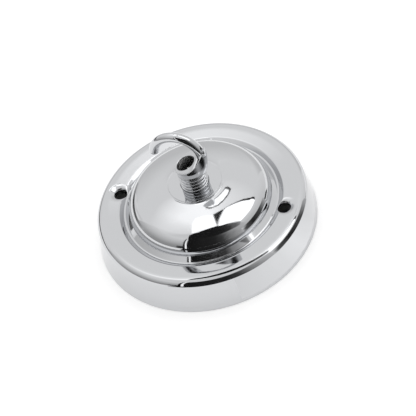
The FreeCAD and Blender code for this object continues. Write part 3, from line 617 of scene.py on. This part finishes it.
class HookField:
    """Signed distance to the cast hook, its stem, mouth, cable way and thread."""

    RUN_OUT = 0.7 * MM
    THREAD_FADE = 1.2 * MM
    THREAD_START = 1.5 * MM
    UPPER_FLANK = (0.3, 0.52)
    LOWER_FLANK = (0.68, 1.0)
    ROD_FILLET = 2.0 * MM
    EDGE = 0.35 * MM
    MOUTH_EDGE = 0.5 * MM
    WAY_FILLET = 1.0 * MM
    WAY_OVERRUN = 2.5 * MM

    def __init__(self, sizes):
        self.s = sizes
        self.fade_out = sizes.collar_foot + self.RUN_OUT

    def thread_depth(self, x, y, z):
        """How far the thread is cut below its crest: a flat upper flank, a slack lower one, faded ends."""
        s = self.s
        phase = (z / s.thread_pitch - np.arctan2(y, x) / (2 * math.pi)) % 1.0
        wave = smooth_step(phase, *self.UPPER_FLANK) - smooth_step(phase, *self.LOWER_FLANK)
        fade = np.clip((self.fade_out - z) / self.THREAD_FADE, 0, 1)
        start = np.clip((z - s.stem_end) / self.THREAD_START, 0, 1)
        return s.thread_depth * wave * fade * start

    def scoop(self, x, z):
        """Signed distance to the scooped mouth in side view, positive in what is scooped away."""
        s = self.s
        lean = s.mouth_angle
        steep = lean + s.scoop_sweep
        turn = np.array([s.scoop_start, s.mouth + s.scoop_start * math.tan(lean)])
        centre = turn + s.scoop * np.array([-math.sin(lean), math.cos(lean)])
        end = centre + s.scoop * np.array([math.sin(steep), -math.cos(steep)])
        flat = -(x - turn[0]) * math.sin(lean) + (z - turn[1]) * math.cos(lean)
        wall = -(x - end[0]) * math.sin(steep) + (z - end[1]) * math.cos(steep)
        arc = s.scoop - np.hypot(x - centre[0], z - centre[1])
        way = np.arctan2(x - centre[0], centre[1] - z)
        return np.where(way < lean, flat, np.where(way > steep, wall, arc))

    def cast(self, x, y, z):
        """Signed distance to the hook and its stem without the cable way."""
        s = self.s
        widen = smooth_step(z, s.collar_foot, s.collar_foot + s.collar_taper)
        radius = s.thread + (s.collar - s.thread) * widen - self.thread_depth(x, y, z)
        stem = np.hypot(x, y) - radius
        bend_x = s.root_x - s.bend
        core = np.minimum(
            arc_distance(x, y, z, (bend_x, s.bend_height), s.bend, 0, s.bend_sweep),
            arc_distance(x, y, z, (s.root_x - s.root, s.bend_height), s.root, -s.root_sweep, 0))
        stand_off = s.sheath * np.clip((z - s.sheath_foot) / s.sheath_rise, 0, 1)
        stem = soft_union(stem, core - s.rod - stand_off, self.ROD_FILLET)
        stem = soft_cut(stem, -self.scoop(x, z), self.EDGE)
        return soft_union(stem, core - s.rod, self.EDGE)

    def cable_way(self, x, y, z):
        """Signed distance to the cable way, upright in the stem and leaning to the mouth."""
        s = self.s
        lean = s.mouth_angle
        turn_z = s.mouth - s.mouth_shift / math.sin(lean)
        along = -x * math.sin(lean) + (z - turn_z) * math.cos(lean)
        aside = np.hypot(x * math.cos(lean) + (z - turn_z) * math.sin(lean), y)
        top = s.mouth_shift / math.tan(lean) + self.WAY_OVERRUN
        leaning = np.maximum(np.maximum(aside - s.mouth_bore, -along), along - top)
        upright = np.maximum(np.hypot(x, y) - s.cable_bore, z - turn_z - s.mouth_shift)
        return soft_union(leaning, upright, self.WAY_FILLET)

    def distance(self, x, y, z):
        """Signed distance at points, positive outside."""
        return soft_cut(self.cast(x, y, z), self.cable_way(x, y, z), self.MOUTH_EDGE)

    def upper(self, x, y, z):
        """Signed distance to what lies above the thread."""
        return np.maximum(self.distance(x, y, z), self.fade_out - z)


def net_surface(distance, axes):
    """Mesh the zero level of a signed distance with one vertex in each cell of a grid that it crosses."""
    x, y, z = np.meshgrid(*axes, indexing="ij")
    values = distance(x, y, z)
    inside = values < 0
    shape = np.array(values.shape) - 1
    total = np.zeros((*shape, 3))
    hits = np.zeros(shape)

    def window(array, shift):
        return array[tuple(slice(k, k + n) for k, n in zip(shift, shape))]

    for axis in range(3):
        others = [k for k in range(3) if k != axis]
        for first in (0, 1):
            for second in (0, 1):
                start = np.zeros(3, int)
                start[others[0]], start[others[1]] = first, second
                stop = start.copy()
                stop[axis] = 1
                a, b = window(values, start), window(values, stop)
                cross = (a < 0) != (b < 0)
                share = np.where(cross, a / np.where(cross, a - b, 1), 0)
                hits += cross
                for k in range(3):
                    total[..., k] += np.where(cross, share if k == axis else start[k], 0)
    used = hits > 0
    number = np.full(shape, -1)
    number[used] = np.arange(used.sum())
    cells = np.argwhere(used)
    spots = cells + total[used] / hits[used][:, None]
    points = np.stack([np.interp(spots[:, k], np.arange(len(axes[k])), axes[k]) for k in range(3)], -1)
    faces = []
    for axis in range(3):
        u, v = (axis + 1) % 3, (axis + 2) % 3
        stop = [slice(1, n) for n in shape]
        start = [slice(1, n) for n in shape]
        start[axis] = slice(0, shape[axis])
        stop[axis] = slice(1, shape[axis] + 1)
        a, b = inside[tuple(start)], inside[tuple(stop)]
        for flips in (False, True):
            spots = np.argwhere(b & ~a if flips else a & ~b)
            spots += 1
            spots[:, axis] -= 1
            ring = []
            for du, dv in ((1, 1), (0, 1), (0, 0), (1, 0)):
                spot = spots.copy()
                spot[:, u] -= du
                spot[:, v] -= dv
                ring.append(number[tuple(spot.T)])
            quad = np.stack(ring, -1)
            faces.append(quad[:, ::-1] if flips else quad)
    return points, np.concatenate(faces)


def outward(distance, points):
    """Slope of a signed distance at points."""
    tiny = 0.02 * MM
    return np.stack([(distance(*(points + step).T) - distance(*(points - step).T)) / (2 * tiny)
                     for step in np.eye(3) * tiny], -1)


def level_points(distance, points, passes):
    """Slide points onto the zero level of a signed distance, by a short way in each pass."""
    most = 0.1 * MM
    for _ in range(passes):
        slope = outward(distance, points)
        steep = np.maximum((slope ** 2).sum(1), 0.05)
        points = points - slope * (np.clip(distance(*points.T), -most, most) / steep)[:, None]
    return points


def edge_radius(distance, turn, z, low, high):
    """How far from the axis a signed distance turns positive, at every turn and height."""
    low, high = np.full(turn.shape, low), np.full(turn.shape, high)
    for _ in range(30):
        middle = (low + high) / 2
        inside = distance(middle * np.cos(turn), middle * np.sin(turn), z) < 0
        low, high = np.where(inside, middle, low), np.where(inside, high, middle)
    return middle


class ROSE_OT_hook(bpy.types.Operator):
    """Cast the hook and its hollow stem with the cable mouth and the thread"""
    bl_idname = "ceiling_rose.hook"
    bl_label = "Cast Hook"

    CELL = 0.16 * MM
    SEAM_CELL = 0.04 * MM
    THREAD_STEP = 0.06 * MM
    HIDDEN_STEP = 0.2 * MM
    BORE_STEP = 0.6 * MM
    TURNS = 140
    END_EDGE = 0.15 * MM
    STEM_RANGE = (5 * MM, 9 * MM)
    BORE_RANGE = (1 * MM, 6.5 * MM)
    LINING = 0.05 * MM

    def cast_top(self, field):
        """Points and faces of the collar, the mouth and the hook above the thread."""
        low, high = (np.array(corner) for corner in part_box("hook_stem"))
        cell = self.CELL * 1
        margin = 3 * cell
        x, y = (np.arange(a, b, cell) for a, b in zip((low - margin)[:2], (high + margin)[:2]))
        seam, fine = field.fade_out, self.SEAM_CELL
        z = np.concatenate([seam + np.arange(-3, 5) * fine,
                            np.arange(seam + 5 * fine, high[2] + margin, cell)])
        points, faces = net_surface(field.upper, (x, y, z))
        return level_points(field.upper, points, 3), faces

    def threaded_stem(self, field):
        """Points and faces of the stem up to the end of its thread, and which faces line the cable way."""
        end, edge = field.s.stem_end, self.END_EDGE
        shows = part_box("rose_cover")[1][2]
        heights = np.concatenate([np.arange(end + edge, shows, self.HIDDEN_STEP),
                                  np.arange(shows, field.fade_out - self.THREAD_STEP / 2, self.THREAD_STEP),
                                  [field.fade_out]])
        bore = np.arange(field.fade_out, end + edge, -self.BORE_STEP)
        turns = np.arange(self.TURNS) * 2 * math.pi / self.TURNS
        outer = edge_radius(field.cast, *np.meshgrid(turns, heights), *self.STEM_RANGE)
        inner = edge_radius(field.cable_way, *np.meshgrid(turns, bore), *self.BORE_RANGE)
        radius = np.concatenate([inner[-1:] + edge, outer[:1] - edge, outer, inner])
        height = np.concatenate([[end, end], heights, bore])
        points = np.stack([radius * np.cos(turns), radius * np.sin(turns),
                           np.repeat(height[:, None], self.TURNS, 1)], -1)
        number = np.arange(radius.size).reshape(radius.shape)
        lining = np.zeros(radius.shape, bool)
        lining[2 + len(heights):] = True
        quads = ring_faces(np.concatenate([number, number[:1]]))
        return points.reshape(-1, 3), quads.reshape(-1, 4), lining.ravel()

    def execute(self, context):
        finishes = context.scene.rose_finishes
        field = HookField(context.scene.rose_hook)
        points, faces, lining = self.threaded_stem(field)
        top_points, top_faces = self.cast_top(field)
        middles = top_points[top_faces].mean(1)
        lining = np.concatenate([lining, np.abs(field.cable_way(*middles.T)) < self.LINING])
        faces = np.concatenate([faces, top_faces + len(points)])
        points = np.concatenate([points, top_points])
        normals = outward(field.distance, points)
        normals[:2 * self.TURNS] = (0, 0, -1)
        chrome = chromium_plate("chromium_plate_on_cast_zinc", finishes.chrome,
                                smooth=0.05, rough=0.11, mark_mm=2.5)
        hook = make_piece("cast_hook", points, unit(normals), faces, chrome, "hook_chrome", "hook_stem")
        hook.data.materials.append(bare_casting(finishes.casting))
        hook.data.polygons.foreach_set("material_index", lining.astype(int).tolist())
        return {"FINISHED"}


class ROSE_OT_terminal(bpy.types.Operator):
    """Finish the lock nut, the lock washer and the earth terminal behind the cover"""
    bl_idname = "ceiling_rose.terminal"
    bl_label = "Finish Terminal"

    def execute(self, context):
        finishes = context.scene.rose_finishes
        zinc, brass = zinc_plate(finishes.zinc), stamped_brass(finishes.brass)
        coats = {"lock_nut": zinc, "lock_washer": zinc, "earth_tag": brass, "earth_screw": brass,
                 "earth_cup_washer": brass, "earth_nut": brass}
        for node, coat in coats.items():
            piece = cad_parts[node]
            piece.data.materials.clear()
            piece.data.materials.append(coat)
        return {"FINISHED"}


def paper_sweep(base, foot):
    """Matt white paper: nearly even white that takes the rose's soft shadow and is dark under its foot."""
    material, tree, place = new_material("matt_white_paper")
    # Paper fibre is finer than this, and drawn coarse so that it shows
    fibre = add_node(tree, "TexNoise", Vector=place, Scale=1 / (2 * MM), Detail=3.0)
    bump = add_node(tree, "Bump", Strength=0.02, Distance=0.02 * MM, Height=fibre.outputs["Fac"])
    far = add_node(tree, "VectorMath", {"operation": "LENGTH"}, n0=place)
    glow = add_node(tree, "MapRange", Value=far.outputs["Value"],
                    From_Min=foot - 0.4 * MM, From_Max=foot + 0.2 * MM, To_Min=0.0, To_Max=0.25)
    shader = add_node(tree, "BsdfPrincipled", Base_Color=tuple(base), Roughness=0.9,
                      Normal=bump.outputs["Normal"], Emission_Color=(1, 1, 1, 1),
                      Emission_Strength=glow.outputs["Result"])
    add_node(tree, "OutputMaterial", Surface=shader.outputs["BSDF"])
    return material


def studio_card(name, levels, fades):
    """Cloudy card that only the chrome shows: its level goes by bearing and fades out by height."""
    material, tree, place = new_material(name)
    way = add_node(tree, "VectorMath", {"operation": "NORMALIZE"}, n0=place)
    bearing = add_node(tree, "TexGradient", {"gradient_type": "RADIAL"}, Vector=way.outputs["Vector"])
    cloud = add_node(tree, "TexNoise", Vector=way.outputs["Vector"], Scale=9.0, Detail=4.0)
    clouding = 0.03
    drift = add_node(tree, "Math", {"operation": "MULTIPLY_ADD"}, n0=cloud.outputs["Fac"],
                     n1=clouding, n2=bearing.outputs["Fac"])
    level = add_node(tree, "ValToRGB", Fac=drift.outputs["Value"])
    height = add_node(tree, "SeparateXYZ", Vector=way.outputs["Vector"])
    fade = add_node(tree, "ValToRGB", Fac=height.outputs["Z"])
    ahead = 0.5 + clouding / 2
    level_stops = [(ahead + degrees / 360, tone) for degrees, tone in levels]
    fade_stops = [(math.sin(degrees * DEGREE), tone) for degrees, tone in fades]
    for ramp, stops in ((level, level_stops), (fade, fade_stops)):
        points = ramp.color_ramp.elements
        while len(points) < len(stops):
            points.new(0.5)
        for point, (spot, tone) in zip(points, stops):
            point.position = spot
            point.color = (tone, tone, tone, 1)
    tone = add_node(tree, "Mix", {"data_type": "RGBA"}, Factor=fade.outputs["Color"],
                    n6=level.outputs["Color"], n7=(0.5, 0.5, 0.5, 1))
    shader = add_node(tree, "Emission", Color=tone.outputs[2], Strength=2.0)
    add_node(tree, "OutputMaterial", Surface=shader.outputs["Emission"])
    return material


class ROSE_OT_studio(bpy.types.Operator):
    """Set the paper sweep, the soft light and the camera"""
    bl_idname = "ceiling_rose.studio"
    bl_label = "Set Studio"

    PAPER_HALF = 2.5
    PAPER_DEPTH = 0.1 * MM
    CARD_CENTRE = 25 * MM
    CARD_ROWS = 24
    FLOOR_CARD_TURNS = 16
    FLOOR_CARD_LIFT = 0.5 * MM
    NO_FADE = ((0, 0), (90, 0))

    def floor(self, context):
        """Lay the paper under the rose."""
        mesh = bpy.data.meshes.new("paper_sweep")
        half = self.PAPER_HALF
        corners = ((-half, -half), (half, -half), (half, half), (-half, half))
        mesh.from_pydata([(*corner, -self.PAPER_DEPTH) for corner in corners], [], [(0, 1, 2, 3)])
        foot = context.scene.rose_cover.outer_diameter / 2
        mesh.materials.append(paper_sweep(context.scene.rose_finishes.paper, foot))
        paper = bpy.data.objects.new("paper_sweep", mesh)
        context.scene.collection.objects.link(paper)

    def light(self, context):
        """White surroundings with the soft folds of a light tent."""
        world = bpy.data.worlds.new("light_tent")
        context.scene.world = world
        world.use_nodes = True
        tree = world.node_tree
        tree.nodes.clear()
        way = add_node(tree, "TexCoord").outputs["Generated"]
        folds = add_node(tree, "TexNoise", Vector=way, Scale=4.0, Detail=2.0)
        level = add_node(tree, "MapRange", Value=folds.outputs["Fac"], From_Min=0.3, From_Max=0.7,
                         To_Min=0.84, To_Max=1.12)
        tent = add_node(tree, "Background", Color=(1, 1, 1, 1), Strength=level.outputs["Result"])
        add_node(tree, "OutputWorld", Surface=tent.outputs["Background"])

    def add_card(self, context, name, points, faces, material):
        """Hang a card that only mirrors see, turned so that its X axis points at the camera's side."""
        mesh = bpy.data.meshes.new(name)
        mesh.from_pydata(points, [], faces)
        mesh.materials.append(material)
        card = bpy.data.objects.new(name, mesh)
        card.location = (0, 0, self.CARD_CENTRE)
        card.rotation_euler = (0, 0, context.scene.rose_camera.azimuth - math.pi / 2)
        for sight in ("camera", "diffuse", "transmission", "volume_scatter", "shadow"):
            setattr(card, "visible_" + sight, False)
        context.scene.collection.objects.link(card)

    def wall_card(self, context, name, bearings, lifts, reach, levels, fades=NO_FADE, bends=(0, 0)):
        """Card on a sphere round the rose, between two bearings from the camera and two heights in degrees.

        The bends are how far each side's bearing has gone at a height of 60 degrees.
        """
        count = self.CARD_ROWS
        rows = []
        for lift in np.linspace(*lifts, count):
            sides = np.add(bearings, np.multiply(bends, (lift / 60) ** 2))
            flat, high = reach * math.cos(lift * DEGREE), reach * math.sin(lift * DEGREE)
            for bearing in np.linspace(*sides, count) * DEGREE:
                rows.append((flat * math.cos(bearing), flat * math.sin(bearing), high))
        faces = [(k, k + 1, k + count + 1, k + count) for row in range(count - 1)
                 for k in range(row * count, row * count + count - 1)]
        self.add_card(context, name, rows, faces, studio_card(name, levels, fades))

    def floor_card(self, context, name, bearings, reaches, levels):
        """Card on the paper, between two bearings from the camera and two distances from the rose."""
        count = self.FLOOR_CARD_TURNS
        turns = np.linspace(*bearings, count) * DEGREE
        height = self.FLOOR_CARD_LIFT - self.CARD_CENTRE
        points = [(reach * math.cos(turn), reach * math.sin(turn), height)
                  for reach in reaches for turn in turns]
        faces = [(k, k + 1, count + k + 1, count + k) for k in range(count - 1)]
        self.add_card(context, name, points, faces, studio_card(name, levels, self.NO_FADE))

    def flat_card(self, context, name, corners, height, levels, fades=NO_FADE):
        """Level card; its corners go right and back as seen from the camera, per metre of height."""
        points = [(-back * height, right * height, height) for right, back in corners]
        self.add_card(context, name, points, [tuple(range(len(points)))], studio_card(name, levels, fades))

    def surroundings(self, context):
        """Hang what the chrome mirrors: dark flags by the camera, grey ones beside it, panels overhead."""
        self.front_cards(context)
        self.side_cards(context)
        self.overhead_cards(context)

    def front_cards(self, context):
        """Dark flags and a white strip on the camera's side."""
        dark = [(-47, 0.004), (2, 0.012), (13, 0.03), (23, 0.12), (37, 0.25), (52, 0.36)]
        self.wall_card(context, "front_flag", (-43, 52), (-0.8, 57), 1.6, dark, bends=(-8, 0))
        self.floor_card(context, "front_floor_flag", (-43, 54), (0.1, 1.6), dark)
        self.flat_card(context, "near_flag",
                       [(-0.77, -1.46), (-0.54, -1.32), (-0.33, -1.3), (0.28, -1.3), (0.58, -1.42),
                        (1.11, -1.76), (1.56, -1.99), (1.83, -2.53), (1.01, -2.51), (0.08, -2.41),
                        (-0.57, -2.19), (-1.13, -2.05)],
                       0.02, [(-47, 0.004), (12, 0.008), (22, 0.02), (30, 0.1), (38, 0.2)])
        self.wall_card(context, "white_strip", (-40.2, -37.8), (-0.8, 58), 1.5,
                       [(-50, 0.75), (-40, 0.75)], bends=(-8, -8))
        self.wall_card(context, "left_bracket", (-52, -43), (-0.8, 13), 1.5, [(-60, 0.12), (-45, 0.02)])

    def side_cards(self, context):
        """Grey flags at both sides and at the back, and cards near the rose at its right."""
        self.wall_card(context, "left_flag", (-118, -43), (-0.8, 60), 1.65,
                       [(-118, 0.3), (-90, 0.2), (-47, 0.18)], [(0, 0), (14, 0.1), (58, 1)], bends=(0, -8))
        self.wall_card(context, "left_strip", (-155, -105), (-0.8, 12), 1.5,
                       [(-155, 0.3), (-142, 0.04), (-122, 0.1), (-105, 0.3)])
        self.wall_card(context, "right_flag", (52, 130), (-0.8, 50), 1.65,
                       [(52, 0.34), (85, 0.4), (130, 0.5)], [(0, 0), (20, 0.2), (50, 1)])
        self.wall_card(context, "near_right_flag", (33, 78), (-13, 4.3), 0.066,
                       [(33, 0.4), (39, 0.05), (50, 0.012), (66, 0.05), (78, 0.3)])
        self.floor_card(context, "right_floor_panel", (5, 130), (0.0555, 0.1),
                        [(5, 0.522), (30, 0.57), (52, 0.64), (72, 0.545), (95, 0.51), (130, 0.5)])
        self.floor_card(context, "right_floor_flag", (54, 104), (0.16, 1.5),
                        [(54, 0.1), (60, 0.02), (104, 0.02)])
        self.wall_card(context, "back_flag", (115, 212), (-0.8, 34), 1.7, [(-180, 0.38), (180, 0.38)],
                       [(0, 0), (16, 0.15), (34, 1)])

    def overhead_cards(self, context):
        """Soft ceiling panel, bright panels below it, the dark gap between two of them and dark edges."""
        self.flat_card(context, "ceiling_panel", [(-1.4, -1.4), (1.4, -1.4), (1.4, 1.4), (-1.4, 1.4)], 1.3,
                       [(-180, 0.8), (-150, 0.76), (-120, 0.56), (-86, 0.45), (90, 0.5), (150, 0.62),
                        (180, 0.8)], [(48, 1), (64, 0)])
        bright, black = ([(-180, tone), (180, tone)] for tone in (0.95, 0.015))
        panels = {
            "left_panel": ([(-0.198, 0.094), (-0.154, 0.227), (-0.098, 0.312), (-0.032, 0.316),
                            (0.072, 0.269), (0.08, 0.22), (0.077, 0.087)], 1.1, bright),
            "right_panel": ([(0.093, 0.08), (0.156, 0.218), (0.209, 0.324), (0.276, 0.342), (0.545, 0.384),
                             (1.306, 0.095), (1.142, -0.142), (0.947, -0.397), (0.819, -0.575),
                             (0.394, -0.208)], 1.1, bright),
            "round_panel": ([(0.045, 0.427), (0.079, 0.418), (0.134, 0.431), (0.197, 0.485), (0.25, 0.551),
                             (0.28, 0.61), (0.26, 0.72), (0.1, 0.72), (0.02, 0.56)], 1.1, bright),
            "panel_gap": ([(0.07, 0.28), (0.189, 0.318), (0.082, 0.08)], 1.05, black),
            "panel_edge": ([(0.19, 0.31), (0.2, 0.33), (0.275, 0.357), (0.4, 0.385), (0.56, 0.425),
                            (0.8, 0.35), (1.36, 0.14), (1.36, 0.07), (0.545, 0.3)], 1.15, black),
            "round_panel_edge": ([(0.02, 0.43), (0.06, 0.4), (0.14, 0.415), (0.21, 0.475), (0.262, 0.545),
                                  (0.305, 0.63), (0.28, 0.75), (0.08, 0.75), (0.0, 0.56)], 1.15, black),
        }
        for name, (corners, height, levels) in panels.items():
            self.flat_card(context, name, corners, height, levels)

    def camera(self, context):
        """Stand the camera where the picture was taken from."""
        s = context.scene.rose_camera
        flat = math.cos(s.elevation)
        way = Vector((math.sin(s.azimuth) * flat, -math.cos(s.azimuth) * flat, math.sin(s.elevation)))
        stand = way * s.distance
        back = (stand - Vector(s.aim)).normalized()
        right = Vector((0, 0, 1)).cross(back).normalized()
        up = back.cross(right)
        side = right * math.cos(s.roll) - up * math.sin(s.roll)
        top = right * math.sin(s.roll) + up * math.cos(s.roll)
        lens = bpy.data.cameras.new("camera")
        lens.lens = s.focal
        lens.sensor_width = 36
        lens.sensor_fit = "HORIZONTAL"
        camera = bpy.data.objects.new("camera", lens)
        camera.matrix_world = Matrix.Translation(stand) @ Matrix((side, top, back)).transposed().to_4x4()
        context.scene.collection.objects.link(camera)
        context.scene.camera = camera

    def execute(self, context):
        context.scene.view_settings.view_transform = "Standard"
        self.floor(context)
        self.light(context)
        self.surroundings(context)
        self.camera(context)
        return {"FINISHED"}


class ROSE_PT_panel(bpy.types.Panel):
    """Lists the pieces of the ceiling rose"""
    bl_label = "Ceiling Rose"
    bl_idname = "ROSE_PT_panel"
    bl_space_type = "VIEW_3D"
    bl_region_type = "UI"
    bl_category = "Ceiling Rose"

    def draw(self, context):
        for operator in OPERATORS:
            self.layout.operator(operator.bl_idname)
        for group in GROUPS:
            box = self.layout.box()
            settings = getattr(context.scene, group)
            for name in settings.__annotations__:
                box.prop(settings, name)


GROUPS = {"rose_cover": CoverSizes, "rose_hook": HookSizes,
          "rose_finishes": Finishes, "rose_camera": CameraSet}
OPERATORS = (ROSE_OT_cover, ROSE_OT_hook, ROSE_OT_terminal, ROSE_OT_studio)


def register():
    """Register the settings, the operators and the panel."""
    for cls in (*GROUPS.values(), *OPERATORS, ROSE_PT_panel):
        bpy.utils.register_class(cls)
    for name, group in GROUPS.items():
        setattr(bpy.types.Scene, name, bpy.props.PointerProperty(type=group))


def unregister():
    """Remove what register added."""
    for name in GROUPS:
        delattr(bpy.types.Scene, name)
    for cls in reversed((*GROUPS.values(), *OPERATORS, ROSE_PT_panel)):
        bpy.utils.unregister_class(cls)


def main():
    """Build every piece in order."""
    register()
    bpy.ops.ceiling_rose.cover()
    bpy.ops.ceiling_rose.hook()
    bpy.ops.ceiling_rose.terminal()
    bpy.ops.ceiling_rose.studio()


if __name__ == "__main__":
    main()
